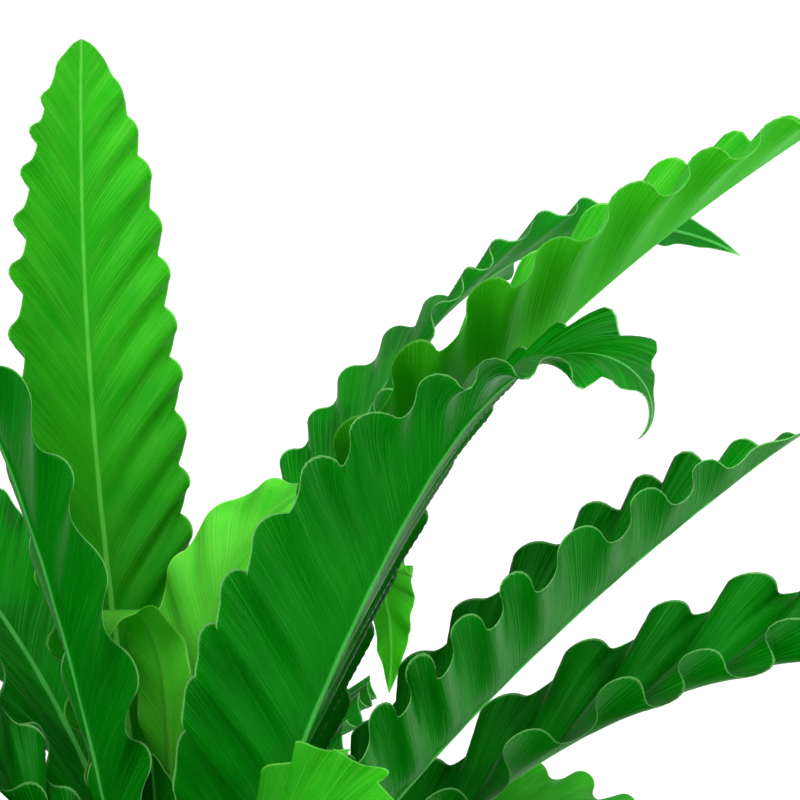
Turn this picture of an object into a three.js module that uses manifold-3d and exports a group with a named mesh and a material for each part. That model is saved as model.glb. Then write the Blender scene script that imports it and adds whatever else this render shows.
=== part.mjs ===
// A potted bird's nest fern: a tapered clay pot, its soil, the short rhizome that stands in
// the soil, and the fronds that grow from it in a rosette. Millimetres, +Z up, with the
// origin at the middle of the pot's flat base and +X to the right of someone facing +Y.
//
// Every frond is the same shape with its own numbers. Its midrib is a curve whose elevation
// turns from `launch` to `finish` and whose heading turns by `sweep`. The blade stands on
// the midrib as a shallow V of two halves, `fold` degrees up from flat near the crown and
// `open` degrees at the tip, and the whole V is rolled about the midrib by `roll`, then
// `twist` at the tip. The real blade's margin also ripples by a few millimetres.
import * as THREE from "three";
import { mergeVertices } from "three/addons/utils/BufferGeometryUtils.js";
import Module from "manifold-3d";

const wasm = await Module();
wasm.setup();

// The pot.
const POT_HEIGHT = 172;
const POT_BASE_RADIUS = 64;
const POT_NECK_RADIUS = 86;
const POT_WALL = 6;
const POT_FLOOR = 9;
const RIM_RADIUS = 96;
const RIM_HEIGHT = 30;
const RIM_EASE = 3;
const POT_SEGMENTS = 48;
const DRAIN_COUNT = 3;
const DRAIN_RADIUS = 6;
const DRAIN_CIRCLE = 36;
const DRAIN_SEGMENTS = 16;

// The soil and the rhizome, with the gap that every touching pair keeps.
const GAP = 0.3;
const SOIL_TOP = 148;
const SOIL_MOUND = 4;
const CROWN_TOP = 174;
const CROWN_DROP = 0.025;
const CROWN_RADIUS = 30;
const CROWN_FOOT = 118;
const CROWN_SEGMENTS = 32;

// The fronds.
const STATIONS = 13;
const SUBSTEPS = 6;
const ACROSS = [-1, -0.5, 0, 0.5, 1];
const BLADE_THICKNESS = 1.4;
const MIDRIB_THICKNESS = 3;
const STALK_SHARE = 0.07;
const LEAST_HALF_WIDTH = 1;
const HEADING_POWER = 1.5;
const ROLL_POWER = 3;
const FROND_LIFT = 1.5;

const CLAY = { color: 0xb5673f, roughness: 0.85, metalness: 0 };
const SOIL = { color: 0x35261a, roughness: 1, metalness: 0 };
const CROWN = { color: 0x4a3320, roughness: 0.95, metalness: 0 };
const MATURE = { color: 0x0f7a14, roughness: 0.4, metalness: 0 };
const BRIGHT = { color: 0x4fb329, roughness: 0.4, metalness: 0 };
const YOUNG = { color: 0x84cf4f, roughness: 0.45, metalness: 0 };

// Angles in degrees, lengths in millimetres. `ring` is how far from the rhizome's axis the
// frond starts, `base` the bearing of that start where it isn't the frond's own azimuth,
// `width` its greatest half width and `taper` how bluntly it ends.
const PLAIN = { bend: 1.5, sweep: 0, fold: 30, open: 15, roll: 0, twist: 0, taper: 0.6 };
const FRONDS = {
  frond_tall: { finish: BRIGHT, azimuth: 127, base: 150, ring: 16, launch: 70, end: 95,
    bend: 1.2, length: 406, width: 41, fold: 14, open: 10, roll: 2 },
  frond_young: { finish: YOUNG, azimuth: 22, base: 50, ring: 9, launch: 94, end: -8, bend: 4,
    sweep: 9, length: 242, width: 31, fold: 32, open: 3, roll: 12, twist: -3 },
  frond_centre: { finish: MATURE, azimuth: -68, ring: 16, launch: 58.5, end: -146, bend: 12,
    sweep: 47, length: 421, width: 52, fold: 39, open: -10, roll: 6, twist: 3 },
  frond_bright: { finish: BRIGHT, azimuth: -45, base: -38, ring: 12, launch: 92.5, end: 32,
    bend: 0.6, sweep: 24, length: 484, width: 50, fold: 47, open: 4, roll: 17,
    twist: 0, taper: 0.35 },
  frond_back: { finish: MATURE, azimuth: 49, base: 66, ring: 20, launch: 82, end: -28,
    bend: 1.85, sweep: -22, length: 500, width: 36, fold: 15, open: 7, roll: -10, twist: -75,
    taper: 1.1 },
  frond_right_middle: { finish: MATURE, azimuth: -39, ring: 19, launch: 58, end: 38,
    bend: 0.9, sweep: -2, length: 380, width: 41, fold: 52, open: 14, roll: 26, twist: 2 },
  frond_right_low: { finish: MATURE, azimuth: -7, ring: 20, launch: 49, end: -10, bend: 1.7,
    sweep: -3, length: 388, width: 41, fold: 31, open: 34, roll: 6, twist: 8 },
  frond_left_front: { finish: MATURE, azimuth: -146, base: -148, ring: 23, launch: 79,
    end: 52, bend: 3, sweep: -4, length: 370, width: 41, fold: 16, open: 12, roll: -4, twist: -10 },
  frond_hanging: { finish: BRIGHT, azimuth: 70, base: 52, ring: 26, launch: 73, end: -114,
    bend: 2.2, sweep: 4, length: 338, width: 26, fold: 20, open: 5, taper: 0.9 },
  frond_front: { finish: BRIGHT, azimuth: -76, base: -96, ring: 24, launch: 52, end: -15,
    bend: 2.4, sweep: 20, length: 300, width: 34, fold: 35, open: 25, roll: 36, twist: 45 },
  frond_low_back: { finish: BRIGHT, azimuth: 24, ring: 22, launch: 49, end: -77, bend: 1.4,
    sweep: -1, length: 280, width: 36, fold: 14, open: 12, twist: 7 },
  frond_young_curled: { finish: YOUNG, azimuth: -124, base: 190, ring: 10, launch: 88,
    end: -75, bend: 7, sweep: 10, length: 206, width: 13, fold: 3, open: 6, roll: 20, twist: 3 },
  frond_young_small: { finish: MATURE, azimuth: -122, base: -128, ring: 22, launch: 87, end: 84,
    bend: 3, length: 122, width: 14, fold: 15, open: 10 },
  frond_young_tip: { finish: YOUNG, azimuth: -6, base: 0, ring: 14, launch: 81, end: 76,
    bend: 2, length: 230, width: 12, fold: 25, open: 5 },
  frond_left_high: { finish: MATURE, azimuth: 182, base: 168, ring: 21, launch: 61, end: 20,
    bend: 1.3, length: 430, width: 44, fold: 30, open: 15 },
  frond_left_middle: { finish: MATURE, azimuth: 202, base: 192, ring: 26, launch: 48, end: -14,
    length: 420, width: 44 },
  frond_left_low: { finish: MATURE, azimuth: 166, ring: 26, launch: 40, end: -30,
    length: 390, width: 42, fold: 25 },
  frond_front_left: { finish: MATURE, azimuth: 224, ring: 26, launch: 38, end: -22,
    length: 380, width: 42, fold: 25 },
  frond_front_low: { finish: MATURE, azimuth: 248, ring: 27, launch: 32, end: -34,
    length: 350, width: 40, fold: 22 },
  frond_front_right: { finish: MATURE, azimuth: 286, ring: 27, launch: 28, end: -38,
    length: 340, width: 40, fold: 22 },
  frond_right_front: { finish: MATURE, azimuth: -34, ring: 22, launch: 30, end: -32,
    length: 340, width: 40, fold: 22 },
  frond_back_left: { finish: MATURE, azimuth: 130, base: 138, ring: 20, launch: 56, end: -26,
    length: 410, width: 42 },
  frond_back_middle: { finish: MATURE, azimuth: 98, base: 115, ring: 22, launch: 50, end: -38,
    length: 360, width: 40 },
  frond_back_low: { finish: MATURE, azimuth: 110, ring: 27, launch: 38, end: -36,
    length: 360, width: 40, fold: 22 },
  frond_back_right: { finish: MATURE, azimuth: 82, base: 78, ring: 27, launch: 33, end: -36,
    length: 320, width: 36, fold: 22 },
};

// A closed surface's vertices and faces as a manifold-3d solid.
function solidOf(geometry) {
  geometry.deleteAttribute("normal");
  geometry.deleteAttribute("uv");
  const merged = mergeVertices(geometry, 1e-4);
  return new wasm.Manifold(
    new wasm.Mesh({
      numProp: 3,
      vertProperties: merged.attributes.position.array,
      triVerts: new Uint32Array(merged.index.array),
    }),
  );
}

// A manifold-3d solid as three.js geometry.
function geometryOf(solid) {
  const mesh = solid.getMesh();
  const geometry = new THREE.BufferGeometry();
  geometry.setAttribute("position", new THREE.BufferAttribute(mesh.vertProperties, 3));
  geometry.setIndex(new THREE.BufferAttribute(mesh.triVerts, 1));
  geometry.computeVertexNormals();
  return geometry;
}

// A profile of [radius, height] points, from the axis round to the axis, spun about +Z.
function turned(profile, segments) {
  const points = profile.map(([radius, height]) => new THREE.Vector2(radius, height));
  const geometry = new THREE.LatheGeometry(points, segments);
  geometry.rotateX(Math.PI / 2);
  return geometry;
}

function named(name, geometry, finish) {
  const mesh = new THREE.Mesh(geometry, new THREE.MeshStandardMaterial(finish));
  mesh.name = name;
  return mesh;
}

// The pot's inner radius at a height, on its straight taper.
function potInnerRadius(height) {
  const share = height / POT_HEIGHT;
  return POT_BASE_RADIUS + (POT_NECK_RADIUS - POT_BASE_RADIUS) * share - POT_WALL;
}

function potGeometry() {
  const rimFoot = POT_HEIGHT - RIM_HEIGHT;
  const neckShare = rimFoot / POT_HEIGHT;
  const neck = POT_BASE_RADIUS + (POT_NECK_RADIUS - POT_BASE_RADIUS) * neckShare;
  const shell = solidOf(
    turned(
      [
        [0, 0],
        [POT_BASE_RADIUS - RIM_EASE, 0],
        [POT_BASE_RADIUS, RIM_EASE],
        [neck, rimFoot],
        [RIM_RADIUS - RIM_EASE, rimFoot],
        [RIM_RADIUS, rimFoot + RIM_EASE],
        [RIM_RADIUS, POT_HEIGHT - RIM_EASE],
        [RIM_RADIUS - RIM_EASE, POT_HEIGHT],
        [potInnerRadius(POT_HEIGHT), POT_HEIGHT],
        [potInnerRadius(POT_FLOOR), POT_FLOOR],
        [0, POT_FLOOR],
      ],
      POT_SEGMENTS,
    ),
  );
  const drill = new THREE.CylinderGeometry(
    DRAIN_RADIUS,
    DRAIN_RADIUS,
    4 * POT_FLOOR,
    DRAIN_SEGMENTS,
  );
  drill.rotateX(Math.PI / 2);
  drill.translate(DRAIN_CIRCLE, 0, 0);
  const hole = solidOf(drill);
  let pot = shell;
  for (let i = 0; i < DRAIN_COUNT; i += 1) {
    pot = pot.subtract(hole.rotate([0, 0, (360 / DRAIN_COUNT) * i]));
  }
  return geometryOf(pot);
}

// The rhizome's height at a distance from its axis: a dome that falls with the square.
function crownHeight(radius) {
  return CROWN_TOP - CROWN_DROP * radius ** 2;
}

function crownProfile(gap) {
  const radius = CROWN_RADIUS + gap;
  const shoulders = [0.9, 0.7, 0.45, 0.2].map((share) => [
    CROWN_RADIUS * share,
    crownHeight(CROWN_RADIUS * share) + gap,
  ]);
  return [
    [0, CROWN_FOOT - gap],
    [radius * 0.6, CROWN_FOOT - gap],
    [radius, CROWN_FOOT + CROWN_RADIUS * 0.5],
    [radius, crownHeight(CROWN_RADIUS) - 2],
    ...shoulders,
    [0, CROWN_TOP + gap],
  ];
}

function soilGeometry() {
  const floor = POT_FLOOR + GAP;
  const body = solidOf(
    turned(
      [
        [0, floor],
        [potInnerRadius(floor) - GAP, floor],
        [potInnerRadius(SOIL_TOP) - GAP, SOIL_TOP],
        [CROWN_RADIUS * 1.6, SOIL_TOP + SOIL_MOUND],
        [0, SOIL_TOP + SOIL_MOUND],
      ],
      POT_SEGMENTS,
    ),
  );
  const socket = solidOf(turned(crownProfile(GAP), CROWN_SEGMENTS));
  return geometryOf(body.subtract(socket));
}

// The blade's half width along the frond: nothing at the crown but the stalk, widest past
// the middle, and closing at the tip. It is scaled so that its greatest value is `width`.
function halfWidth(frond, s) {
  const profile = (t) => t ** 0.95 * (1 - t) ** frond.taper;
  const widest = 0.95 / (0.95 + frond.taper);
  const share = STALK_SHARE + (1 - STALK_SHARE) * (profile(s) / profile(widest));
  const tip = Math.min(1, (1 - s) * 20 + 0.1);
  return Math.max(frond.width * share * tip, LEAST_HALF_WIDTH);
}

// The direction of the midrib, and the V's side and upper directions, at share s.
function bladeFrame(frond, s) {
  const rad = THREE.MathUtils.degToRad;
  const rise = rad(frond.launch + (frond.end - frond.launch) * s ** frond.bend);
  const heading = rad(frond.azimuth + frond.sweep * s ** HEADING_POWER);
  const roll = rad(frond.roll + (frond.twist - frond.roll) * s ** ROLL_POWER);
  const flat = new THREE.Vector3(Math.cos(heading), Math.sin(heading), 0);
  const up = new THREE.Vector3(0, 0, 1);
  const along = flat.clone().multiplyScalar(Math.cos(rise)).addScaledVector(up, Math.sin(rise));
  const side = new THREE.Vector3(-Math.sin(heading), Math.cos(heading), 0);
  const upper = up.clone().multiplyScalar(Math.cos(rise)).addScaledVector(flat, -Math.sin(rise));
  side.applyAxisAngle(along, roll);
  upper.applyAxisAngle(along, roll);
  return { along, side, upper };
}

// One frond: a closed skin of two faces over a V, with a thicker strip along the midrib.
function frondGeometry(frond) {
  const step = frond.length / (STATIONS - 1) / SUBSTEPS;
  const start = THREE.MathUtils.degToRad(frond.base ?? frond.azimuth);
  const middle = new THREE.Vector3(
    frond.ring * Math.cos(start),
    frond.ring * Math.sin(start),
    crownHeight(frond.ring) + FROND_LIFT,
  );
  const loops = [];
  for (let i = 0; i < STATIONS; i += 1) {
    const s = i / (STATIONS - 1);
    const { side, upper } = bladeFrame(frond, s);
    const half = halfWidth(frond, s);
    const foldNow = frond.fold + (frond.open - frond.fold) * s ** ROLL_POWER;
    const fold = THREE.MathUtils.degToRad(foldNow);
    const point = (u, lift) =>
      middle
        .clone()
        .addScaledVector(side, u * half * Math.cos(fold))
        .addScaledVector(upper, Math.abs(u) * half * Math.sin(fold) + lift);
    const thick = (u) => (u === 0 ? MIDRIB_THICKNESS : BLADE_THICKNESS) / 2;
    const top = ACROSS.map((u) => point(u, BLADE_THICKNESS / 2));
    const bottom = ACROSS.map((u) => point(u, BLADE_THICKNESS / 2 - 2 * thick(u)));
    loops.push([...top, ...bottom.reverse()]);
    for (let k = 0.5; k < SUBSTEPS; k += 1) {
      middle.addScaledVector(bladeFrame(frond, (i + k / SUBSTEPS) / (STATIONS - 1)).along, step);
    }
  }
  return loftGeometry(loops);
}

// Closed skin over a row of equal loops, each the upper points and then the lower ones back.
function loftGeometry(loops) {
  const around = loops[0].length;
  const last = (loops.length - 1) * around;
  const index = [];
  for (let i = 0; i + 1 < loops.length; i += 1) {
    for (let j = 0; j < around; j += 1) {
      const a = i * around + j;
      const b = i * around + ((j + 1) % around);
      index.push(a, b + around, b, a, a + around, b + around);
    }
  }
  for (let j = 0; j + 1 < around / 2; j += 1) {
    const quad = [j, j + 1, around - 2 - j, around - 1 - j];
    index.push(quad[0], quad[1], quad[2], quad[0], quad[2], quad[3]);
    const end = quad.map((k) => last + k);
    index.push(end[0], end[2], end[1], end[0], end[3], end[2]);
  }
  const geometry = new THREE.BufferGeometry();
  const places = loops.flat().flatMap((p) => p.toArray());
  geometry.setAttribute("position", new THREE.Float32BufferAttribute(places, 3));
  geometry.setIndex(index);
  geometry.computeVertexNormals();
  return geometry;
}

const group = new THREE.Group();
group.add(named("pot", potGeometry(), CLAY));
group.add(named("potting_soil", soilGeometry(), SOIL));
group.add(named("rhizome", turned(crownProfile(0), CROWN_SEGMENTS), CROWN));
for (const [name, own] of Object.entries(FRONDS)) {
  const frond = { ...PLAIN, ...own };
  group.add(named(name, frondGeometry(frond), frond.finish));
}

export default group;
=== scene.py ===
"""A potted bird's nest fern: a clay pot, its soil, a scaly rhizome and a rosette of wavy fronds.

Shapes are worked out in millimetres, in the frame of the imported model, and written to the
meshes in metres. Every frond grows on the same midrib curve and V section as its node in
the frame. The valley, the ruffled margin, the rib and the thickness of the blade are added
here.
"""

import logging
from dataclasses import dataclass
from enum import Enum

import bpy
import numpy as np
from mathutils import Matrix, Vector
from numpy.random import Generator
from numpy.typing import NDArray


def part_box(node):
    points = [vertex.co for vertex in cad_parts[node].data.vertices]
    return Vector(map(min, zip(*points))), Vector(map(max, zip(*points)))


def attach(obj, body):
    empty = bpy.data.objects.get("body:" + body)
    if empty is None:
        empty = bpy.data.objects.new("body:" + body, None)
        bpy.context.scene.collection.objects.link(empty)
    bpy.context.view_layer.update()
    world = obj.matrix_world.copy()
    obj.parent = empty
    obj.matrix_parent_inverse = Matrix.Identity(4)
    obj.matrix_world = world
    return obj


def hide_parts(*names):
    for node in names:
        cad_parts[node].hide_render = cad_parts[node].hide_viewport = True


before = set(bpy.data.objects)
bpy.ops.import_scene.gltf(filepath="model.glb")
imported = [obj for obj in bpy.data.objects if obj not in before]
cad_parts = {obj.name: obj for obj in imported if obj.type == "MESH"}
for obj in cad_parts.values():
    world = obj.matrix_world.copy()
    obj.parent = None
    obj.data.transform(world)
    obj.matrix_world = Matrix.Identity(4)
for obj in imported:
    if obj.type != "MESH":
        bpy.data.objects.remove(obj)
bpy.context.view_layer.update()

Array = NDArray[np.float64]
Colour = tuple[float, float, float, float]
Socket = bpy.types.NodeSocket

MM = 0.001
BODY = "root"
TURN = 2 * np.pi
SHARP = np.radians(75)

log = logging.getLogger("fern")


# ---------------------------------------------------------------- helpers


def screen(red: int, green: int, blue: int) -> Colour:
    """A linear shader colour from screen values.

    Args:
        red: Red from 0 to 255.
        green: Green from 0 to 255.
        blue: Blue from 0 to 255.

    Returns:
        The linear colour with full alpha.
    """
    value = np.array([red, green, blue]) / 255
    linear = np.where(value <= 0.04045, value / 12.92, ((value + 0.055) / 1.055) ** 2.4)
    return (float(linear[0]), float(linear[1]), float(linear[2]), 1.0)


def smooth(value: Array, start: float, end: float) -> Array:
    """A smooth rise from 0 at start to 1 at end: 3t^2 - 2t^3.

    Args:
        value: Where to work it out.
        start: The value at which the rise starts.
        end: The value at which it is complete.

    Returns:
        The rise, from 0 to 1.
    """
    t = np.clip((value - start) / (end - start), 0, 1)
    return t * t * (3 - 2 * t)


def wander(place: Array, pitch: float, rng: Generator) -> Array:
    """A smooth random signal of about -1 to 1: four cosines with pitches round the given one.

    Args:
        place: Where to work it out, in the units of pitch.
        pitch: The middle distance between two crests.
        rng: The source of the phases.

    Returns:
        The signal, in the shape of place.
    """
    pitches = pitch * np.array([0.63, 1.0, 1.57, 2.6])
    phases = rng.uniform(0, TURN, 4)
    return np.cos(TURN * place[..., None] / pitches + phases).mean(-1) * 1.7


def rough(points: Array, finest: float, coarsest: float, rng: Generator) -> Array:
    """Solid random roughness: cosines along random directions, coarse ones stronger.

    Args:
        points: The places, with x, y and z last.
        finest: The shortest wavelength.
        coarsest: The longest wavelength.
        rng: The source of the directions and phases.

    Returns:
        The roughness, of about -1 to 1, without the last axis.
    """
    count = 48
    directions = rng.normal(size=(count, 3))
    directions /= np.linalg.norm(directions, axis=1, keepdims=True)
    lengths = np.exp(rng.uniform(np.log(finest), np.log(coarsest), count))
    waves = np.cos(points @ (directions * TURN / lengths[:, None]).T + rng.uniform(0, TURN, count))
    weights = np.sqrt(lengths)
    return (waves * weights).sum(-1) / np.sqrt((weights**2).sum() / 2) / 1.8


def running_sum(values: Array, steps: Array, axis: int) -> Array:
    """The running integral of values over steps by the trapezium rule, from 0.

    Args:
        values: What is summed, at the points.
        steps: The distances between neighbouring points, one fewer than the values.
        axis: The axis along which it runs.

    Returns:
        The integral at each point.
    """
    values = np.moveaxis(values, axis, 0)
    steps = np.moveaxis(steps, axis, 0)
    pieces = (values[1:] + values[:-1]) / 2 * steps
    total = np.concatenate([np.zeros_like(pieces[:1]), np.cumsum(pieces, axis=0)])
    return np.moveaxis(total, 0, axis)


def grid_quads(index: NDArray[np.int64]) -> NDArray[np.int64]:
    """The quads between neighbouring entries of a grid of vertex numbers.

    Args:
        index: Vertex numbers, one row per station.

    Returns:
        One row of four vertex numbers per quad.
    """
    corners = [index[:-1, :-1], index[1:, :-1], index[1:, 1:], index[:-1, 1:]]
    return np.stack(corners, -1).reshape(-1, 4)


def mesh_piece(
    name: str, points: Array, faces: list[list[int]], facts: dict[str, Array] | None = None
) -> bpy.types.Object:
    """A smooth-shaded mesh object at the origin, linked to the scene.

    Args:
        name: The piece's name.
        points: Vertex places in millimetres.
        faces: Vertex numbers of each face, anticlockwise from outside.
        facts: Values to keep on the vertices, by attribute name.

    Returns:
        The new object.
    """
    mesh = bpy.data.meshes.new(name)
    mesh.from_pydata(points * MM, [], faces)
    mesh.polygons.foreach_set("use_smooth", np.ones(len(mesh.polygons), dtype=bool))
    mesh.set_sharp_from_angle(angle=SHARP)
    for fact, values in (facts or {}).items():
        layer = mesh.attributes.new(fact, "FLOAT", "POINT")
        layer.data.foreach_set("value", values.astype(np.float32).ravel())
    mesh.update()
    piece = bpy.data.objects.new(name, mesh)
    bpy.context.scene.collection.objects.link(piece)
    return piece


def lathe(radius: Array, height: Array, segments: int) -> tuple[Array, list[list[int]]]:
    """A closed body turned about the Z axis, from its top pole round the outside to the lowest.

    The point at ring i and segment k is (r cos a, r sin a, h) with a = 2 pi k / segments.

    Args:
        radius: The profile's radii, either one per ring or one per ring and segment. The
            first and the last are on the axis.
        height: The profile's heights in the same shape.
        segments: How many steps make the turn.

    Returns:
        The vertices and the faces.
    """
    angle = np.arange(segments) * TURN / segments
    radius, height = (v[:, None] if v.ndim == 1 else v for v in (radius, height))
    ring = np.stack(
        np.broadcast_arrays(radius * np.cos(angle), radius * np.sin(angle), height), -1
    )[1:-1]
    rows = len(ring)
    index = np.arange(rows * segments).reshape(rows, segments)
    index = np.concatenate([index, index[:, :1]], axis=1)
    first, last = rows * segments, rows * segments + 1
    poles = np.array([[0, 0, height[0].mean()], [0, 0, height[-1].mean()]])
    points = np.concatenate([ring.reshape(-1, 3), poles])
    start, end = index[0], index[-1]
    caps = np.concatenate(
        [
            np.stack([np.full(segments, first), start[:-1], start[1:]], -1),
            np.stack([np.full(segments, last), end[1:], end[:-1]], -1),
        ]
    )
    return points, grid_quads(index).tolist() + caps.tolist()


def dress(piece: bpy.types.Object, material: bpy.types.Material, slot: str, *nodes: str) -> None:
    """Gives a piece its material and body, and hides the frame nodes it stands for.

    Args:
        piece: The finished piece.
        material: Its material.
        slot: The record's material slot; not used.
        nodes: The frame nodes that it replaces, if any.
    """
    piece.data.materials.append(material)
    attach(piece, BODY)
    if nodes:
        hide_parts(*nodes)
    corners = np.array(piece.bound_box) / MM
    size = np.ptp(corners, axis=0)
    log.info("%-22s %6d faces, %.0f x %.0f x %.0f mm", piece.name, len(piece.data.polygons), *size)


class Shader:
    """A material's node tree, with a short call for each kind of node."""

    def __init__(self, name: str) -> None:
        """Starts an empty material with an output.

        Args:
            name: The material's name.
        """
        self.material = bpy.data.materials.new(name)
        self.material.use_nodes = True
        self.tree = self.material.node_tree
        self.tree.nodes.clear()
        self.output = self.tree.nodes.new("ShaderNodeOutputMaterial")

    def add(self, kind: str, inputs: dict[int | str, object], **settings: object) -> bpy.types.Node:
        """Adds a node.

        Args:
            kind: The node's type name.
            inputs: A value or a socket for each input, by number or name.
            settings: The node's own properties.

        Returns:
            The new node.
        """
        node = self.tree.nodes.new(kind)
        for key, value in settings.items():
            setattr(node, key, value)
        for key, value in inputs.items():
            if isinstance(value, bpy.types.NodeSocket):
                self.tree.links.new(value, node.inputs[key])
            else:
                node.inputs[key].default_value = value
        return node

    def maths(self, operation: str, first: object, second: object = 0.0) -> Socket:
        """The result of one Math node on two values or sockets."""
        return self.add("ShaderNodeMath", {0: first, 1: second}, operation=operation).outputs[0]

    def times(self, first: object, second: object) -> Socket:
        """The product of two values or sockets."""
        return self.maths("MULTIPLY", first, second)

    def fact(self, name: str) -> Socket:
        """The piece's own vertex attribute of that name."""
        return self.add("ShaderNodeAttribute", {}, attribute_name=name).outputs["Fac"]

    def place(self) -> Socket:
        """The object coordinates, in metres."""
        return self.add("ShaderNodeTexCoord", {}).outputs["Object"]

    def vector(self, x: object, y: object, z: object = 0.0) -> Socket:
        """A vector of three values or sockets."""
        return self.add("ShaderNodeCombineXYZ", {0: x, 1: y, 2: z}).outputs[0]

    def noise(self, place: Socket, scale: float, detail: float = 3.0, rough: float = 0.5) -> Socket:
        """Smooth noise of about 0 to 1 at a place."""
        inputs = {"Vector": place, "Scale": scale, "Detail": detail, "Roughness": rough}
        return self.add("ShaderNodeTexNoise", inputs).outputs["Fac"]

    def rise(self, value: Socket, start: float, end: float) -> Socket:
        """A smooth step from 0 at start to 1 at end."""
        inputs = {"Value": value, "From Min": start, "From Max": end}
        node = self.add("ShaderNodeMapRange", inputs, interpolation_type="SMOOTHSTEP")
        return node.outputs["Result"]

    def spread(self, value: Socket, low: float, high: float) -> Socket:
        """A value of 0 to 1 stretched to run from low to high."""
        inputs = {"Value": value, "To Min": low, "To Max": high}
        return self.add("ShaderNodeMapRange", inputs).outputs["Result"]

    def blend(self, share: object, first: object, second: object) -> Socket:
        """The first colour at share 0, the second at share 1."""
        inputs = {0: share, 6: first, 7: second}
        return self.add("ShaderNodeMix", inputs, data_type="RGBA").outputs[2]

    def bump(self, height: Socket, depth: float, strength: float) -> Socket:
        """A normal bent by a height of 0 to 1 that stands for a depth in metres."""
        inputs = {"Height": height, "Distance": depth, "Strength": strength}
        return self.add("ShaderNodeBump", inputs).outputs[0]

    def finish(self, surface: Socket) -> bpy.types.Material:
        """Joins the surface to the output and gives the material back."""
        self.tree.links.new(surface, self.output.inputs["Surface"])
        return self.material


# ---------------------------------------------------------------- finishes


class Age(Enum):
    """How old a frond is, which sets its finish."""

    MATURE = "frond_mature"
    BRIGHT = "frond_bright"
    YOUNG = "frond_young"


@dataclass(frozen=True)
class LeafFinish:
    """A frond's skin: fine slanting veins, a pale rib and rim, soft gloss and some glow.

    Clouds blend shade into blade, and the underside is tinted. Light streaks, dark vein
    lines and light threads follow the vein coordinate, which counts millimetres along the
    midrib and falls back with the distance from it. The light streaks and threads are the
    blade's paler vein texture and partly a painted sheen. From the foot's reach down to
    the stem the skin darkens to the foot's colour and glows less, a painted shade of the
    rosette's middle.
    """

    blade: Colour
    shade: Colour
    # paler green of the streaks and threads: the blade's vein texture and partly a painted sheen
    light: Colour
    under: Colour
    rib: Colour
    rim: Colour
    # painted shade: the darker colour the skin takes towards the stem
    foot: Colour
    glow: Colour
    glow_share: float
    # how far up the blade the painted shade of the foot reaches
    painted_shade_reach: float
    roughness: float
    gloss: float
    vein_pitch: float = 1.1
    # how strongly the vein lines and the light threads show; the threads are partly a painted sheen
    vein_and_sheen_share: float = 0.6
    # how strongly the light streaks show, which are partly a painted sheen
    streak_and_sheen_share: float = 0.5
    relief: float = 0.00022

    def material(self, name: str) -> bpy.types.Material:
        """Builds the material.

        Args:
            name: The material's name.

        Returns:
            The material.
        """
        s = Shader(name)
        vein = s.fact("vein")
        reach = s.fact("reach")
        place = s.place()
        cloud = s.noise(place, 26.0, 2.0)
        grain_place = s.vector(s.times(vein, 0.8), s.times(reach, 0.03))
        streak = s.rise(s.noise(grain_place, 1.0, 3.0, 0.6), 0.35, 0.72)
        waver = s.times(s.noise(grain_place, 0.4, 1.0), 7.0)
        turns = s.times(vein, TURN / self.vein_pitch)
        line = s.rise(s.maths("SINE", s.maths("ADD", turns, waver)), -2.0, 0.0)

        colour = s.blend(s.rise(cloud, 0.35, 0.65), self.shade, self.blade)
        # light streaks: the blade's paler texture and partly a painted sheen along the veins
        colour = s.blend(s.times(streak, self.streak_and_sheen_share), colour, self.light)
        under = s.fact("under")
        colour = s.blend(s.times(under, 0.75), colour, self.under)
        colour = s.blend(s.times(line, self.vein_and_sheen_share), colour, self.shade)
        # light threads between the vein lines: the blade's vein texture and partly a painted sheen
        sheen_and_vein_thread = s.times(s.maths("SUBTRACT", 1.0, line), s.rise(streak, 0.2, 0.9))
        colour = s.blend(s.times(sheen_and_vein_thread, self.vein_and_sheen_share), colour, self.light)
        share = s.fact("share")
        # painted shade: the skin darkens to the foot's colour towards the stem
        foot = s.maths("SUBTRACT", 1.0, s.rise(share, 0.12, self.painted_shade_reach))
        colour = s.blend(foot, colour, self.foot)
        rib_edge = s.spread(share, 1.9, 0.7)
        rib = s.maths("SUBTRACT", 1.0, s.rise(s.maths("DIVIDE", reach, rib_edge), 0.55, 1.15))
        colour = s.blend(s.times(rib, 0.7), colour, self.rib)
        rim = s.maths("SUBTRACT", 1.0, s.rise(s.fact("rim"), 0.25, 0.8))
        colour = s.blend(s.times(rim, 0.6), colour, self.rim)

        relief = s.maths("ADD", s.times(line, 0.5), s.times(streak, 0.8))
        normal = s.bump(relief, self.relief, 0.8)
        sheen = s.spread(streak, self.roughness - 0.05, self.roughness + 0.09)
        skin = s.add(
            "ShaderNodeBsdfPrincipled",
            {
                "Base Color": colour,
                "Roughness": sheen,
                "Specular IOR Level": self.gloss,
                "Specular Tint": screen(150, 255, 160),
                "Normal": normal,
            },
        )
        # the translucent colour also darkens towards the stem, with the painted shade of the foot
        shine = s.maths("SUBTRACT", 0.55, s.times(foot, 0.45))
        lit = s.blend(shine, colour, self.glow)
        glow = s.add("ShaderNodeBsdfTranslucent", {"Color": lit, "Normal": normal})
        layers = {0: self.glow_share, 1: skin.outputs[0], 2: glow.outputs[0]}
        both = s.add("ShaderNodeMixShader", layers)
        return s.finish(both.outputs[0])


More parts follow.
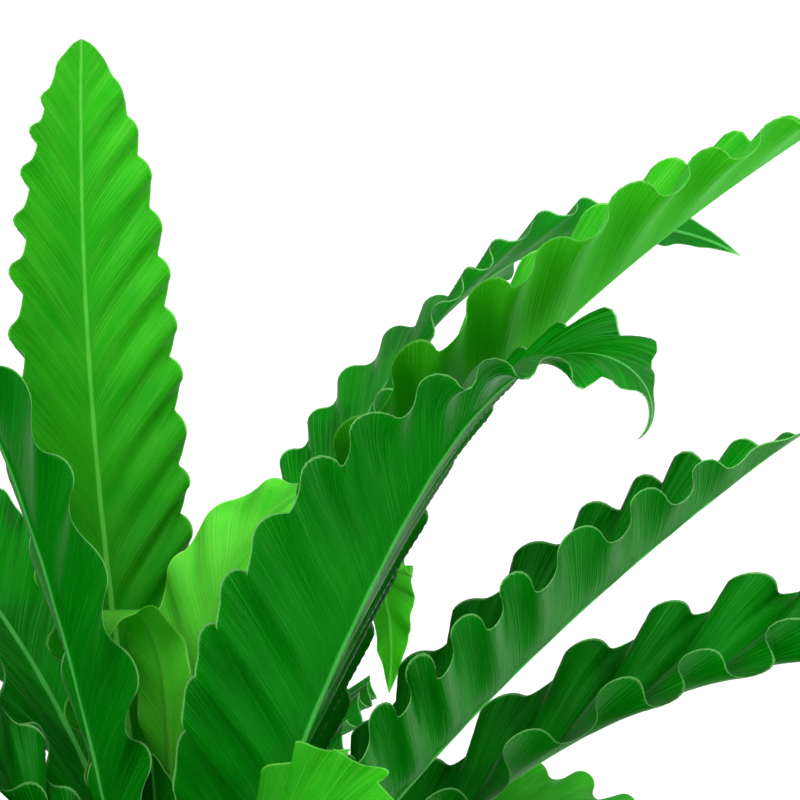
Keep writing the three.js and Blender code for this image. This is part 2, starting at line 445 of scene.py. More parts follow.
# The foot colours are painted shade towards the stem.
LEAVES = {
    Age.MATURE: LeafFinish(
        blade=screen(0, 142, 4),
        shade=screen(0, 90, 0),
        # paler streaks and threads, partly a painted sheen
        light=screen(46, 174, 48),
        under=screen(4, 132, 12),
        rib=screen(84, 190, 84),
        rim=screen(130, 205, 120),
        foot=screen(16, 84, 8),
        glow=screen(30, 210, 0),
        glow_share=0.22,
        painted_shade_reach=0.25,
        roughness=0.36,
        gloss=0.18,
    ),
    Age.BRIGHT: LeafFinish(
        blade=screen(76, 204, 36),
        shade=screen(30, 164, 16),
        light=screen(132, 220, 84),
        under=screen(84, 200, 34),
        rib=screen(124, 222, 96),
        rim=screen(150, 226, 110),
        foot=screen(10, 130, 6),
        glow=screen(120, 245, 0),
        glow_share=0.5,
        painted_shade_reach=0.9,
        roughness=0.42,
        gloss=0.2,
    ),
    Age.YOUNG: LeafFinish(
        blade=screen(112, 232, 70),
        shade=screen(54, 190, 30),
        light=screen(160, 240, 104),
        under=screen(104, 236, 60),
        rib=screen(120, 214, 74),
        rim=screen(190, 240, 130),
        foot=screen(20, 150, 6),
        glow=screen(110, 255, 20),
        glow_share=0.46,
        painted_shade_reach=0.75,
        roughness=0.45,
        gloss=0.2,
        vein_and_sheen_share=0.12,
        streak_and_sheen_share=0.35,
    ),
}


@dataclass(frozen=True)
class ClayFinish:
    """Fired clay: warm ground, dusty pale bloom low down and on the rim, fine sandy grain."""

    ground: Colour = screen(186, 104, 66)
    dark: Colour = screen(150, 76, 48)
    bloom: Colour = screen(222, 184, 156)

    def material(self, name: str, low: float, high: float) -> bpy.types.Material:
        """Builds the material.

        Args:
            name: The material's name.
            low: The height of the pot's foot, in metres.
            high: The height of its rim, in metres.

        Returns:
            The material.
        """
        s = Shader(name)
        place = s.place()
        cloud = s.noise(place, 18.0, 4.0, 0.55)
        grain = s.noise(place, 900.0, 2.0)
        height = s.add("ShaderNodeSeparateXYZ", {0: place}).outputs[2]
        foot = s.maths("SUBTRACT", 1.0, s.rise(height, low, low + 0.3 * (high - low)))
        lip = s.rise(height, high - 0.05 * (high - low), high)
        dust = s.times(s.maths("ADD", foot, lip), s.rise(cloud, 0.42, 0.66))
        patches = s.rise(s.noise(place, 40.0, 5.0, 0.6), 0.55, 0.75)
        colour = s.blend(s.rise(cloud, 0.3, 0.7), self.dark, self.ground)
        colour = s.blend(s.times(patches, 0.35), colour, self.bloom)
        colour = s.blend(s.times(dust, 0.75), colour, self.bloom)
        colour = s.blend(s.times(s.rise(grain, 0.5, 0.75), 0.25), colour, self.dark)
        relief = s.maths("ADD", s.times(grain, 0.4), s.noise(place, 240.0, 4.0))
        skin = s.add(
            "ShaderNodeBsdfPrincipled",
            {
                "Base Color": colour,
                "Roughness": s.spread(cloud, 0.75, 0.95),
                "Specular IOR Level": 0.25,
                "Normal": s.bump(relief, 0.0006, 0.6),
            },
        )
        return s.finish(skin.outputs[0])


@dataclass(frozen=True)
class EarthyFinish:
    """A matt broken-up surface: soil, bark, perlite or fibre, by its two colours and scale."""

    dark: Colour
    pale: Colour
    scale: float
    roughness: float = 0.95
    relief: float = 0.0008

    def material(self, name: str) -> bpy.types.Material:
        """Builds the material.

        Args:
            name: The material's name.

        Returns:
            The material.
        """
        s = Shader(name)
        place = s.place()
        coarse = s.noise(place, self.scale, 5.0, 0.65)
        fine = s.noise(place, self.scale * 6, 3.0, 0.6)
        colour = s.blend(s.rise(coarse, 0.35, 0.68), self.dark, self.pale)
        colour = s.blend(s.times(s.rise(fine, 0.5, 0.7), 0.4), colour, self.dark)
        relief = s.maths("ADD", coarse, s.times(fine, 0.5))
        skin = s.add(
            "ShaderNodeBsdfPrincipled",
            {
                "Base Color": colour,
                "Roughness": self.roughness,
                "Specular IOR Level": 0.2,
                "Normal": s.bump(relief, self.relief, 0.8),
            },
        )
        return s.finish(skin.outputs[0])


SOIL = EarthyFinish(screen(34, 24, 16), screen(74, 54, 36), 220.0)
BARK = EarthyFinish(screen(60, 38, 22), screen(124, 84, 50), 160.0)
PERLITE = EarthyFinish(screen(196, 192, 180), screen(238, 236, 228), 300.0, 0.85)
HUSK = EarthyFinish(screen(48, 30, 18), screen(112, 78, 44), 120.0, 0.8)


# ---------------------------------------------------------------- pot and soil


@dataclass
class ClayPot:
    """The thrown clay pot: tapered wall, rolled rim band and three drainage holes."""

    wall: float = 6.0
    floor: float = 9.0
    base_radius: float = 64.0
    neck_radius: float = 86.0
    rim_height: float = 30.0
    rim_roll: float = 4.5
    lip_roll: float = 2.0
    band_roll: float = 3.0
    foot_roll: float = 3.0
    corner: float = 2.0
    ring_depth: float = 0.22
    ring_pitch: float = 7.5
    segments: int = 144
    drain_count: int = 3
    drain_radius: float = 6.0
    drain_circle: float = 36.0

    def profile(self, top: float, rim: float) -> tuple[Array, Array]:
        """The wall's outline from the middle of the inner floor over the rim to the base.

        Straight stretches are joined by quarter rounds, and shallow throwing rings, a
        sine of the height, run round the outer wall.

        Args:
            top: The pot's height.
            rim: The rim band's outer radius.

        Returns:
            Radii and heights.
        """
        share = np.linspace(0, 1, 40)
        inner_foot = self.base_radius - self.wall + self.corner
        inner_neck = self.neck_radius - self.wall
        quarter = np.linspace(0, np.pi / 2, 7)
        roll, lip, hem = self.rim_roll, self.lip_roll, self.band_roll
        under = top - self.rim_height
        neck = self.base_radius + (self.neck_radius - self.base_radius) * under / top
        wall_height = under + (self.foot_roll - under) * share
        wall_radius = neck + (self.base_radius - neck) * share
        rings = self.ring_depth * np.sin(TURN * wall_height / self.ring_pitch)
        rings *= np.sin(np.pi * share) ** 0.5
        band = np.linspace(top - roll, under + hem, 12)
        radius = [
            [0, inner_foot - 6, inner_foot - 1.5],
            inner_foot + (inner_neck - inner_foot) * share[1:-1],
            inner_neck + lip * (1 - np.cos(quarter)),
            rim - roll + roll * np.sin(quarter),
            rim + 0.15 * np.sin(TURN * band / 9),
            rim - hem + hem * np.cos(quarter),
            wall_radius + rings,
            self.base_radius - self.foot_roll * (1 - np.cos(quarter)),
            [0],
        ]
        height = [
            [self.floor, self.floor, self.floor + 0.8],
            self.floor + self.corner + (top - lip - self.corner - self.floor) * share[1:-1],
            top - lip + lip * np.sin(quarter),
            top - roll + roll * np.cos(quarter),
            band,
            under + hem - hem * np.sin(quarter),
            wall_height,
            self.foot_roll * (1 - np.sin(quarter)),
            [0],
        ]
        return np.concatenate(radius), np.concatenate(height)

    def build(self) -> None:
        """Turns the wall, slightly out of round, and drills the drainage holes."""
        low, high = (np.array(c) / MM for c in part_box("pot"))
        radius, height = self.profile(high[2], high[0])
        angle = np.arange(self.segments) * TURN / self.segments
        wobble = 1 + 0.0022 * np.cos(2 * angle + 0.6) + 0.0012 * np.cos(3 * angle + 2.0)
        points, faces = lathe(
            radius[:, None] * wobble, height[:, None] + 0 * wobble, self.segments
        )
        pot = mesh_piece("clay_pot", points, faces)
        for i in range(self.drain_count):
            self.drill(pot, i * TURN / self.drain_count)
        pot.data.polygons.foreach_set("use_smooth", np.ones(len(pot.data.polygons), dtype=bool))
        material = ClayFinish().material("fired_clay", low[2] * MM, high[2] * MM)
        dress(pot, material, "clay", "pot")

    def drill(self, pot: bpy.types.Object, bearing: float) -> None:
        """Cuts one drainage hole through the floor with a bit of 32 sides.

        Args:
            pot: The pot, whose mesh is replaced by the drilled one.
            bearing: Where the hole is, as an angle round the pot.
        """
        depth = np.array([20.0, 20, -8, -8])
        width = np.array([0.0, 1, 1, 0]) * self.drain_radius
        points, faces = lathe(width, depth, 32)
        points += self.drain_circle * np.array([np.cos(bearing), np.sin(bearing), 0])
        bit = mesh_piece("drill", points, faces)
        cut = pot.modifiers.new("drain", "BOOLEAN")
        cut.object = bit
        cut.operation = "DIFFERENCE"
        graph = bpy.context.evaluated_depsgraph_get()
        drilled = bpy.data.meshes.new_from_object(pot.evaluated_get(graph))
        pot.modifiers.clear()
        pot.data = drilled
        bpy.data.objects.remove(bit)


@dataclass
class PottingSoil:
    """The potting mix: a crumbly bed with bark chips and perlite worked into its top."""

    gap: float = 0.4
    dip: float = 4.0
    level_share: float = 0.55
    waist: float = 90.0
    crumb: float = 2.2
    sunk: float = 0.8
    buried: float = 0.6
    chips: int = 260
    perlites: int = 90
    rings: int = 70
    segments: int = 200
    seed: int = 11

    def surface(self, distance: Array, edge: float, top: float) -> Array:
        """The bed's height at a distance from its axis: level, then lower by the dip at the edge."""
        return top - self.dip * smooth(distance, edge * self.level_share, edge)

    def build(self) -> None:
        """Makes the bed and scatters the chips and the perlite on it."""
        low, high = (np.array(c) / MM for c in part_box("potting_soil"))
        edge = high[0] - self.gap
        rng = np.random.default_rng(self.seed)
        inward = np.linspace(0, 1, self.rings)
        radius = np.concatenate([inward * edge, [edge - 0.5, edge - 2, edge * 0.74, 0]])
        top = self.surface(radius, edge, high[2])
        top[-4:] = [top[-5] - 3, self.waist, low[2], low[2]]
        angle = np.arange(self.segments) * TURN / self.segments
        flat = np.stack([radius[:, None] * np.cos(angle), radius[:, None] * np.sin(angle)], -1)
        place = np.concatenate([flat, np.zeros_like(flat[..., :1])], -1)
        crumbs = self.crumb * rough(place, 3, 14, rng)
        crumbs *= (1 - smooth(radius, edge - 3, edge))[:, None]
        crumbs[-4:] = 0
        crumbs[0] = crumbs[0].mean()
        grid_radius = radius[:, None] + 0 * angle
        points, faces = lathe(grid_radius, top[:, None] + crumbs - self.sunk, self.segments)
        bed = mesh_piece("soil_bed", points, faces)
        dress(bed, SOIL.material("potting_mix"), "soil", "potting_soil")
        self.scatter("bark_chips", self.chips, (5.5, 3.6, 1.6), edge, high[2], BARK, rng)
        self.scatter("perlite", self.perlites, (2.0, 1.7, 1.4), edge, high[2], PERLITE, rng)

    def scatter(
        self,
        name: str,
        count: int,
        size: tuple[float, float, float],
        edge: float,
        top: float,
        finish: EarthyFinish,
        rng: Generator,
    ) -> None:
        """Scatters lumps over the bed: dented ellipsoids of 6 by 8 faces, each turned its own way.

        Args:
            name: The piece's name.
            count: How many lumps.
            size: The half sizes of a middling lump.
            edge: The bed's radius.
            top: The bed's height in the middle.
            finish: The lumps' finish.
            rng: The source of sizes and places.
        """
        arc = np.linspace(0, np.pi, 7)
        points, faces = lathe(np.sin(arc), np.cos(arc), 8)
        lumps = points * rng.uniform(0.72, 1.15, (count, len(points), 1))
        lumps *= np.array(size) * rng.uniform(0.6, 1.35, (count, 1, 3))
        turn, tip = rng.uniform(0, TURN, count), rng.normal(0, 0.3, count)
        cos, sin, zero, one = np.cos(tip), np.sin(tip), np.zeros(count), np.ones(count)
        tilt = np.array([[cos, zero, sin], [zero, one, zero], [-sin, zero, cos]])
        cos, sin = np.cos(turn), np.sin(turn)
        spin = np.array([[cos, -sin, zero], [sin, cos, zero], [zero, zero, one]])
        lumps = np.einsum("ijn,jkn,nvk->nvi", spin, tilt, lumps)
        distance = np.sqrt(rng.uniform(0.14, 0.88, count)) * edge
        bearing = rng.uniform(0, TURN, count)
        height = self.surface(distance, edge, top) - self.buried
        centre = np.stack([distance * np.cos(bearing), distance * np.sin(bearing), height], -1)
        lumps += centre[:, None]
        offsets = np.arange(count) * len(points)
        all_faces = [[int(o) + i for i in face] for o in offsets for face in faces]
        piece = mesh_piece(name, lumps.reshape(-1, 3), all_faces)
        dress(piece, finish.material(name), "soil")


@dataclass
class Rhizome:
    """The short stem that carries the fronds, with the papery brown scales that cover it."""

    drop: float = 0.025
    radius: float = 30.0
    scales: int = 520
    scale_length: float = 13.0
    scale_width: float = 1.7
    seed: int = 5

    def build(self) -> None:
        """Makes the stem's dome and its coat of scales."""
        low, high = (np.array(c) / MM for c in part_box("rhizome"))
        rng = np.random.default_rng(self.seed)
        inward = np.linspace(0, 1, 40) * self.radius
        radius = np.concatenate([inward, [self.radius, self.radius, self.radius * 0.6, 0]])
        dome = high[2] - self.drop * inward**2
        height = np.concatenate([dome, [dome[-1] - 3, low[2] + 15, low[2], low[2]]])
        segments = 120
        angle = np.arange(segments) * TURN / segments
        place = np.stack(
            np.broadcast_arrays(
                radius[:, None] * np.cos(angle), radius[:, None] * np.sin(angle), height[:, None]
            ),
            -1,
        )
        lumps = 1.2 * rough(place, 3, 16, rng) * smooth(radius, 0, 6)[:, None]
        lumps[-3:] = 0
        grown = radius[:, None] + lumps * smooth(radius, 20, 30)[:, None]
        points, faces = lathe(grown, height[:, None] + lumps, segments)
        stem = mesh_piece("rhizome_stem", points, faces)
        dress(stem, HUSK.material("husk"), "rhizome", "rhizome")
        self.coat(high[2], rng)

    def coat(self, top: float, rng: Generator) -> None:
        """Covers the stem with scales.

        A scale is a strip of 6 by 2 faces that narrows to a point as (1 - t)^0.7, rises
        from the stem and leans outwards by the square of t, closed by an equal strip
        under it.

        Args:
            top: The stem's height.
            rng: The source of places and sizes.
        """
        count, steps = self.scales, 6
        t = np.linspace(0, 1, steps + 1)
        across = np.array([-1.0, 0, 1])
        length = self.scale_length * rng.uniform(0.5, 1.25, count)
        distance = self.radius * np.sqrt(rng.uniform(0.02, 1.12, count))
        bearing = rng.uniform(0, TURN, count)
        lean = rng.uniform(0.3, 1.2, count) * (0.3 + distance / self.radius)
        out = distance[:, None] + length[:, None] * np.sin(lean)[:, None] * (0.3 * t + 0.7 * t**2)
        up = top - self.drop * distance[:, None] ** 2 - 1.5
        up = up + length[:, None] * (np.cos(lean)[:, None] * t - 0.25 * t**2)
        half = self.scale_width * rng.uniform(0.6, 1.2, (count, 1)) * (1 - t) ** 0.7 + 0.05
        side = half[..., None] * across
        radial = np.stack([np.cos(bearing), np.sin(bearing)], -1)[:, None, None]
        tangent = np.stack([-np.sin(bearing), np.cos(bearing)], -1)[:, None, None]
        flat = out[..., None, None] * radial + side[..., None] * tangent
        rise = (up[..., None] - 0.35 * np.abs(side))[..., None]
        upper = np.concatenate([flat, rise], -1)
        lower = upper - np.array([0, 0, 0.25])
        index = np.arange((steps + 1) * 3).reshape(steps + 1, 3)
        under = index + index.size
        shell = np.concatenate([grid_quads(index)[:, ::-1], grid_quads(under)])
        ring = np.concatenate([index[:, 0], index[-1, 1:], index[::-1, 2][1:], index[0, ::-1][1:2]])
        following = np.roll(ring, -1)
        walls = np.stack([ring, ring + index.size, following + index.size, following], -1)
        shell = np.concatenate([shell, walls])
        points = np.concatenate([upper.reshape(count, -1, 3), lower.reshape(count, -1, 3)], axis=1)
        faces = shell[None] + (np.arange(count) * 2 * index.size)[:, None, None]
        coat = mesh_piece("rhizome_scales", points.reshape(-1, 3), faces.reshape(-1, 4).tolist())
        scales = EarthyFinish(screen(70, 42, 20), screen(150, 104, 58), 90.0, 0.7)
        dress(coat, scales.material("scales"), "rhizome")


# ---------------------------------------------------------------- fronds


@dataclass
class Frond:
    """One frond, with angles in degrees and lengths in millimetres.

    The midrib starts on the rhizome at distance `ring` and bearing `base`. Its elevation
    turns from `launch` to `end` as s^bend, and its heading from `azimuth` by `sweep` as
    s^1.5, with s from 0 at the stem to 1 at the tip. The blade stands on it as a V of two
    halves, `fold` up from flat near the stem and `open` at the tip, rolled about the midrib
    by `roll`, then `twist`, as s^3. `width` is its greatest half width.

    The margin ruffles with crests `pitch` apart that stand `wave` high. `meander` is how
    far they lean over, `pleat` how high they still are near the midrib, and `scallop` how
    deeply the margin's outline is notched, once for each crest. `lobe` turns the sine into
    broad crests with narrow troughs between them, and `drip` narrows the last stretch of
    the blade to a hanging tip.

    The capitals hold for every frond: the grid and the power that crowds its columns to the
    midrib, the stalk's share of the width, the power by which the width grows from it and
    the least width, the midrib's height over the stem, the slant of crests and veins, how
    far veins curve as they leave the midrib and within what distance, the length over which
    the V is softened, how much and with what pitch the ruffle's speed and height wander,
    how far its flanks draw in, the blade's thickness and the rib's depth.
    """

    name: str
    age: Age
    azimuth: float
    length: float
    width: float
    launch: float
    end: float
    ring: float
    base: float | None = None
    bend: float = 1.5
    sweep: float = 0.0
    fold: float = 30.0
    open: float = 15.0
    roll: float = 0.0
    twist: float = 0.0
    taper: float = 0.6
    wave: float = 5.5
    pitch: float = 30.0
    meander: float = 0.25
    pleat: float = 1.0
    scallop: float = 0.03
    lobe: float = 0.4
    drip: float = 0.0
    seed: int = 1

    STATIONS = 260
    HALF_COLUMNS = 30
    COLUMN_POWER = 1.3
    STALK_SHARE = 0.07
    WIDEN = 0.95
    LEAST = 0.35
    LIFT = 1.5
    SLANT = 1.15
    VEIN_CURVE = 5.0
    VEIN_REACH = 6.0
    VALLEY = 4.0
    SPEED_SWING = 0.22
    SPEED_PITCH = 95.0
    HEIGHT_SWING = 0.32
    HEIGHT_PITCH = 80.0
    SLACK = 0.25
    SKIN = 0.3
    RIB = 2.2

    def shares(self) -> Array:
        """The stations' shares of the midrib, from 0 at the stem to 1 at the tip."""
        return np.linspace(0, 1, self.STATIONS)

    def midrib(self) -> tuple[Array, Array, Array, Array]:
        """The midrib and the blade's directions along it.

        Returns:
            The midrib's points, and its unit vectors along, to the side and up.
        """
        s = self.shares()
        rise = np.radians(self.launch + (self.end - self.launch) * s**self.bend)
        heading = np.radians(self.azimuth + self.sweep * s**1.5)
        roll = np.radians(self.roll + (self.twist - self.roll) * s**3)[:, None]
        zero = np.zeros_like(s)
        flat = np.stack([np.cos(heading), np.sin(heading), zero], -1)
        level = np.stack([-np.sin(heading), np.cos(heading), zero], -1)
        up = np.array([0.0, 0, 1])
        along = flat * np.cos(rise)[:, None] + up * np.sin(rise)[:, None]
        over = up * np.cos(rise)[:, None] - flat * np.sin(rise)[:, None]
        side = level * np.cos(roll) + over * np.sin(roll)
        upper = over * np.cos(roll) - level * np.sin(roll)
        start = np.radians(self.azimuth if self.base is None else self.base)
        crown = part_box("rhizome")[1][2] / MM
        foot = np.array(
            [
                self.ring * np.cos(start),
                self.ring * np.sin(start),
                crown - Rhizome.drop * self.ring**2 + self.LIFT,
            ]
        )
        steps = np.diff(s)[:, None] * self.length
        return foot + running_sum(along, steps, 0), along, side, upper

    def half_width(self) -> Array:
        """The blade's half width: s^WIDEN (1 - s)^taper, scaled to `width`, above the stalk's."""
        s = self.shares()
        widest = self.WIDEN / (self.WIDEN + self.taper)
        most = widest**self.WIDEN * (1 - widest) ** self.taper
        share = s**self.WIDEN * (1 - s) ** self.taper / most
        stalk = self.STALK_SHARE * np.sqrt(1 - s)
        narrowed = 1 - self.drip * smooth(s, 0.925, 0.965)
        whole = self.width * (stalk + (1 - self.STALK_SHARE) * share)
        return np.maximum(whole * narrowed, self.LEAST)

    def half_blade(self, hand: int) -> dict[str, Array]:
        """One half of the blade as a surface, from the midrib to the margin.

        Each station starts as the V's arm, softened at the midrib by 1 - exp(-r / VALLEY).
        The ruffle's phase runs along the midrib at a wandering speed and lags with the
        distance r from it, so that crests slant like the veins. The ripple is a sine mixed
        with lobes, the rounded absolute cosine of half the phase. With t from 0 at the
        midrib to 1 at the margin, it lifts the blade by the wave's height as t^1.7 and by
        the pleat's as t^0.6. Crests lean along the midrib by the sine of twice the phase,
        and their flanks draw in by the squared cosine.

        Args:
            hand: 1 for the half on the side vector, -1 for the other.

        Returns:
            Points and the reach, vein and rim values, all as station by column grids.
        """
        rng = np.random.default_rng(2 * self.seed + (hand > 0))
        s = self.shares()
        line = s * self.length
        t = np.linspace(0, 1, self.HALF_COLUMNS + 1) ** self.COLUMN_POWER
        middle, along, side, upper = (v[:, None] for v in self.midrib())
        side = side * hand

        speed = (1 + self.SPEED_SWING * wander(line, self.SPEED_PITCH, rng)) / self.pitch
        phase_line = TURN * running_sum(speed, np.diff(line), 0) + rng.uniform(0, TURN)
        loud_line = 1 + self.HEIGHT_SWING * wander(line, self.HEIGHT_PITCH, rng)
        half = self.half_width()[:, None]
        reach = half * t
        lag = line[:, None] - self.SLANT * reach
        phase = np.interp(lag, line, phase_line)
        calm = smooth(s, 0.05, 0.3) * (1 - 0.6 * smooth(s, 0.86, 1))
        calm = calm[:, None] * np.minimum(1, half / (0.55 * self.width))
        height = self.wave * calm * np.interp(lag, line, loud_line)

        notch = 2 * np.abs(np.cos(phase / 2)) - 1
        wide = reach * (1 + self.scallop * calm * notch * t**4)
        fold = np.radians(self.fold + (self.open - self.fold) * s**3)[:, None]
        angle = fold * (1 - np.exp(-reach / self.VALLEY))
        steps = np.diff(wide, axis=1)
        outward = running_sum(np.cos(angle), steps, 1)
        upward = running_sum(np.sin(angle), steps, 1)

        lobes = 2 * np.sqrt(np.cos(phase / 2 - np.pi / 4) ** 2 + 0.02) - 1.1
        ripple = (1 - self.lobe) * np.sin(phase) + self.lobe * lobes
        lift = height * t**1.7 * ripple + self.pleat * calm * t**0.6 * ripple
        lean = -self.meander * height * t**2 * np.sin(2 * phase)
        slack = -self.SLACK * height * t**2 * np.cos(phase) ** 2
        cosine, sine = np.cos(angle)[..., None], np.sin(angle)[..., None]
        face = upper * cosine - side * sine
        away = side * cosine + upper * sine
        points = middle + side * outward[..., None] + upper * upward[..., None]
        points = points + face * lift[..., None] + along * lean[..., None] + away * slack[..., None]
        curve = self.VEIN_CURVE * (1 - np.exp(-reach / self.VEIN_REACH))
        return {
            "points": points,
            "reach": reach,
            "vein": lag - curve,
            "rim": half - reach,
        }

    def build(self) -> bpy.types.Object:
        """Joins both halves, gives the blade its thickness and rib, and makes the piece.

        Returns:
            The frond.
        """
        left, right = self.half_blade(-1), self.half_blade(1)
        grid = {k: np.concatenate([left[k][:, :0:-1], right[k]], axis=1) for k in left}
        points = grid["points"]
        normal = np.cross(np.gradient(points, axis=0), np.gradient(points, axis=1))
        normal /= np.linalg.norm(normal, axis=-1, keepdims=True)
        s = self.shares()[:, None]
        rib_width = 0.9 + 1.2 * (1 - s)
        rib = self.RIB * (1 - s) ** 0.8 * np.exp(-((grid["reach"] / rib_width) ** 2))
        top = points + normal * (self.SKIN / 2 + 0.12 * rib)[..., None]
        bottom = points - normal * (self.SKIN / 2 + rib)[..., None]

        rows, columns = s.size, points.shape[1]
        upper = np.arange(rows * columns).reshape(rows, columns)
        lower = upper.copy()
        inner = np.arange((rows - 2) * (columns - 2)).reshape(rows - 2, -1)
        lower[1:-1, 1:-1] = rows * columns + inner
        places = np.concatenate([top.reshape(-1, 3), bottom[1:-1, 1:-1].reshape(-1, 3)])
        faces = np.concatenate([grid_quads(upper), grid_quads(lower)[:, ::-1]])
        grid["share"] = s + np.zeros((rows, columns))
        facts = {
            key: np.concatenate([grid[key].ravel(), grid[key][1:-1, 1:-1].ravel()])
            for key in ("reach", "vein", "rim", "share")
        }
        facts["under"] = (np.arange(len(places)) >= rows * columns).astype(float)
        return mesh_piece(self.name + "_blade", places, faces.tolist(), facts)


MATURE, BRIGHT, YOUNG = Age
FRONDS = [
    Frond("frond_tall", BRIGHT, 127, 406, 41, 70, 95, 16, 150, bend=1.2, fold=14, open=10, roll=2,
          wave=3.0, pitch=25, scallop=0.05, pleat=1.1),
    Frond("frond_young", YOUNG, 22, 242, 31, 94, -8, 9, 50, bend=4, sweep=9, fold=32, open=3,
          roll=12, twist=-3, wave=2.6, pitch=30, pleat=0.3),
    Frond("frond_centre", MATURE, -68, 421, 52, 58.5, -146, 16, bend=12, sweep=47, fold=39,
          open=-10, roll=6, twist=3, wave=4.2, pitch=27, pleat=0.8, drip=0.8, lobe=0.35,
          scallop=0.05),
    Frond("frond_bright", BRIGHT, -45, 484, 50, 92.5, 32, 12, -38, bend=0.6, sweep=24, fold=47,
          open=4, roll=17, taper=0.35, wave=4.2, pitch=31, pleat=1.0, lobe=0.1, meander=0.5),
    Frond("frond_back", MATURE, 49, 500, 36, 82, -28, 20, 66, bend=1.85, sweep=-22, fold=15, open=7,
          roll=-10, twist=-75, taper=1.1, wave=3.0, pitch=27, pleat=1.2),
    Frond("frond_right_middle", MATURE, -39, 380, 41, 58, 38, 19, bend=0.9, sweep=-2, fold=52,
          open=14, roll=26, twist=2, wave=4.2, pitch=31, pleat=2.2, lobe=0.15, meander=0.5),
    Frond("frond_right_low", MATURE, -7, 388, 41, 49, -10, 20, bend=1.7, sweep=-3, fold=31, open=34,
          roll=6, twist=8, wave=6.5, pitch=36, pleat=1.5, lobe=0, meander=0.5),
    Frond("frond_left_front", MATURE, -146, 370, 41, 79, 52, 23, -148, bend=3, sweep=-4, fold=16,
          open=12, roll=-4, twist=-10, wave=3.5, pitch=38),
    Frond("frond_hanging", BRIGHT, 70, 338, 26, 73, -114, 26, 52, bend=2.2, sweep=4, fold=20,
          open=5, taper=0.9, wave=4),
    Frond("frond_front", BRIGHT, -76, 300, 34, 52, -15, 24, -96, bend=2.4, sweep=20, fold=35,
          open=25, roll=36, twist=45, wave=6, pitch=38, pleat=0.3, scallop=0, meander=0.2,
          lobe=0.3),
    Frond("frond_low_back", BRIGHT, 24, 280, 36, 49, -77, 22, bend=1.4, sweep=-1, fold=14, open=12,
          twist=7, wave=5),
    Frond("frond_young_curled", YOUNG, -124, 206, 13, 88, -75, 10, 190, bend=7, sweep=10, fold=3,
          open=6, roll=20, twist=3, wave=1.2, pitch=30, pleat=0.2),
    Frond("frond_young_small", MATURE, -122, 122, 14, 87, 84, 22, -128, bend=3, fold=15, open=10,
          wave=1.5, pitch=22, pleat=0.2),
    Frond("frond_young_tip", YOUNG, -6, 230, 12, 81, 76, 14, 0, bend=2, fold=25, open=5, wave=2.5,
          pitch=20, pleat=0.2),
    Frond("frond_left_high", MATURE, 182, 430, 44, 61, 20, 21, 168, bend=1.3),
    Frond("frond_left_middle", MATURE, 202, 420, 44, 48, -14, 26, 192),
    Frond("frond_left_low", MATURE, 166, 390, 42, 40, -30, 26, fold=25),
    Frond("frond_front_left", MATURE, 224, 380, 42, 38, -22, 26, fold=25),
    Frond("frond_front_low", MATURE, 248, 350, 40, 32, -34, 27, fold=22),
    Frond("frond_front_right", MATURE, 286, 340, 40, 28, -38, 27, fold=22),
    Frond("frond_right_front", MATURE, -34, 340, 40, 30, -32, 22, fold=22),
    Frond("frond_back_left", MATURE, 130, 410, 42, 56, -26, 20, 138),
    Frond("frond_back_middle", MATURE, 98, 360, 40, 50, -38, 22, 115),
    Frond("frond_back_low", MATURE, 110, 360, 40, 38, -36, 27, fold=22),
    Frond("frond_back_right", MATURE, 82, 320, 36, 33, -36, 27, 78, fold=22),
]


@dataclass
class Rosette:
    """All the fronds, each with the finish of its age and a ruffle of its own.

    A frond that stands more than STRAY millimetres off its node's box is logged.
    """

    fronds: list[Frond]

    STRAY = 12.0

    def build(self) -> None:
        """Makes and dresses every frond and compares its box with its node's."""
        materials = {age: LEAVES[age].material("leaf_" + age.name.lower()) for age in Age}
        for number, frond in enumerate(self.fronds):
            frond.seed += 10 * number
            blade = frond.build()
            dress(blade, materials[frond.age], frond.age.value, frond.name)
            corners = np.array(blade.bound_box)
            ours = np.array([corners.min(axis=0), corners.max(axis=0)])
            theirs = np.array([list(c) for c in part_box(frond.name)])
            worst = np.abs(ours - theirs).max() / MM
            if worst > self.STRAY:
                log.warning("%s stands %.0f mm off its node's box", frond.name, worst)


# ---------------------------------------------------------------- studio


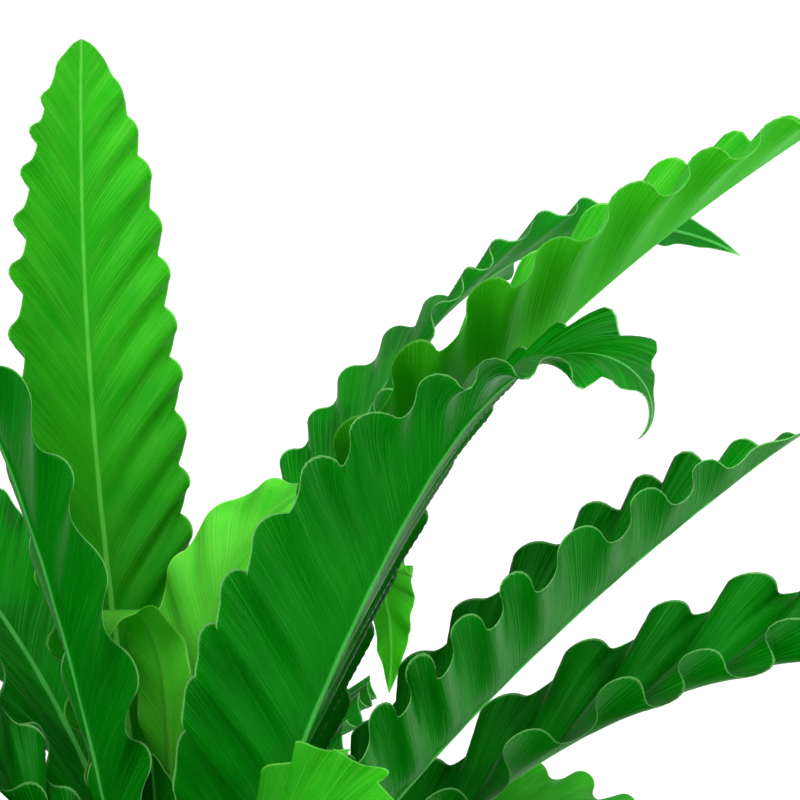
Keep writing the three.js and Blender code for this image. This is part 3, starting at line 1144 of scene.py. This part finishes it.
@dataclass
class Studio:
    """A pale floor under white surroundings, a wide soft sun, three panels and the camera.

    The sun spreads over `sun_spread` degrees. A panel's last number is its share of
    `panel_power`.
    """

    eye: tuple[float, float, float] = (0.0821, -0.8781, 0.5798)
    pitch_down: float = 10.0
    lens: float = 100.0
    ambient: float = 0.55
    sun_strength: float = 3.0
    sun_spread: float = 50.0
    panel_power: float = 14.0

    SUN_PLACE = (-0.2, -1.3, 1.6)
    SUN_TARGET = (0, 0, 0.3)
    PANEL_TARGET = (0, 0, 0.35)
    PANELS = (
        ("panel_right", (1.3, -0.9, 1.3), 1.0),
        ("panel_left", (-0.9, -1.1, 0.9), 0.6),
        ("panel_low", (1.1, -1.1, 0.1), 0.7),
    )

    def build(self) -> None:
        """Makes the floor, the surroundings, the lights and the camera."""
        self.floor()
        self.surroundings()
        self.lights()
        self.camera()

    def floor(self) -> None:
        """A pale matt floor, wide enough to run to the horizon."""
        half = 40000.0
        corners = np.array([[-half, -half, 0], [half, -half, 0], [half, half, 0], [-half, half, 0]])
        floor = mesh_piece("studio_floor", corners, [[0, 1, 2, 3]])
        s = Shader("pale_floor")
        patch = s.noise(s.place(), 3.0, 2.0)
        colour = s.blend(patch, screen(247, 247, 247), screen(250, 250, 250))
        inputs = {"Base Color": colour, "Roughness": 0.9, "Specular IOR Level": 0.1}
        skin = s.add("ShaderNodeBsdfPrincipled", inputs)
        floor.data.materials.append(s.finish(skin.outputs[0]))

    def surroundings(self) -> None:
        """White surroundings: full white behind the plant, and a softer light from all round."""
        world = bpy.data.worlds.new("white_room")
        bpy.context.scene.world = world
        world.use_nodes = True
        tree = world.node_tree
        tree.nodes.clear()
        seen = tree.nodes.new("ShaderNodeBackground")
        seen.inputs["Strength"].default_value = 1.0
        seen.inputs["Color"].default_value = (1, 1, 1, 1)
        felt = tree.nodes.new("ShaderNodeBackground")
        felt.inputs["Strength"].default_value = self.ambient
        felt.inputs["Color"].default_value = (1, 1, 1, 1)
        path = tree.nodes.new("ShaderNodeLightPath")
        mix = tree.nodes.new("ShaderNodeMixShader")
        output = tree.nodes.new("ShaderNodeOutputWorld")
        tree.links.new(path.outputs["Is Camera Ray"], mix.inputs[0])
        tree.links.new(felt.outputs[0], mix.inputs[1])
        tree.links.new(seen.outputs[0], mix.inputs[2])
        tree.links.new(mix.outputs[0], output.inputs["Surface"])

    def lights(self) -> None:
        """A soft sun from above and in front, and three large panels that give the gloss."""
        sun = bpy.data.lights.new("soft_sun", "SUN")
        sun.energy = self.sun_strength
        sun.angle = np.radians(self.sun_spread)
        self.aim("soft_sun", sun, Vector(self.SUN_PLACE), Vector(self.SUN_TARGET))
        for name, place, share in self.PANELS:
            panel = bpy.data.lights.new(name, "AREA")
            panel.shape = "RECTANGLE"
            panel.size = 0.8
            panel.size_y = 1.1
            panel.energy = self.panel_power * share
            self.aim(name, panel, Vector(place), Vector(self.PANEL_TARGET))

    def aim(self, name: str, light: bpy.types.Light, place: Vector, target: Vector) -> None:
        """Places a light and turns it to its target.

        Args:
            name: The light's name.
            light: The light's data.
            place: Where it stands.
            target: What it shines on.
        """
        lamp = bpy.data.objects.new(name, light)
        lamp.location = place
        lamp.rotation_euler = (target - place).to_track_quat("-Z", "Y").to_euler()
        bpy.context.scene.collection.objects.link(lamp)

    def camera(self) -> None:
        """The camera: a long lens, level with the upper fronds and looking slightly down."""
        data = bpy.data.cameras.new("studio_camera")
        data.lens = self.lens
        camera = bpy.data.objects.new("studio_camera", data)
        camera.location = self.eye
        camera.rotation_euler = (np.radians(90 - self.pitch_down), 0, 0)
        bpy.context.scene.collection.objects.link(camera)
        bpy.context.scene.camera = camera
        bpy.context.scene.view_settings.view_transform = "Standard"


def main() -> None:
    """Builds the pot, the soil, the rhizome, the fronds and the studio, and notes the size."""
    logging.basicConfig(level=logging.INFO, format="%(name)s %(message)s")
    ClayPot().build()
    PottingSoil().build()
    Rhizome().build()
    Rosette(FRONDS).build()
    Studio().build()


if __name__ == "__main__":
    main()
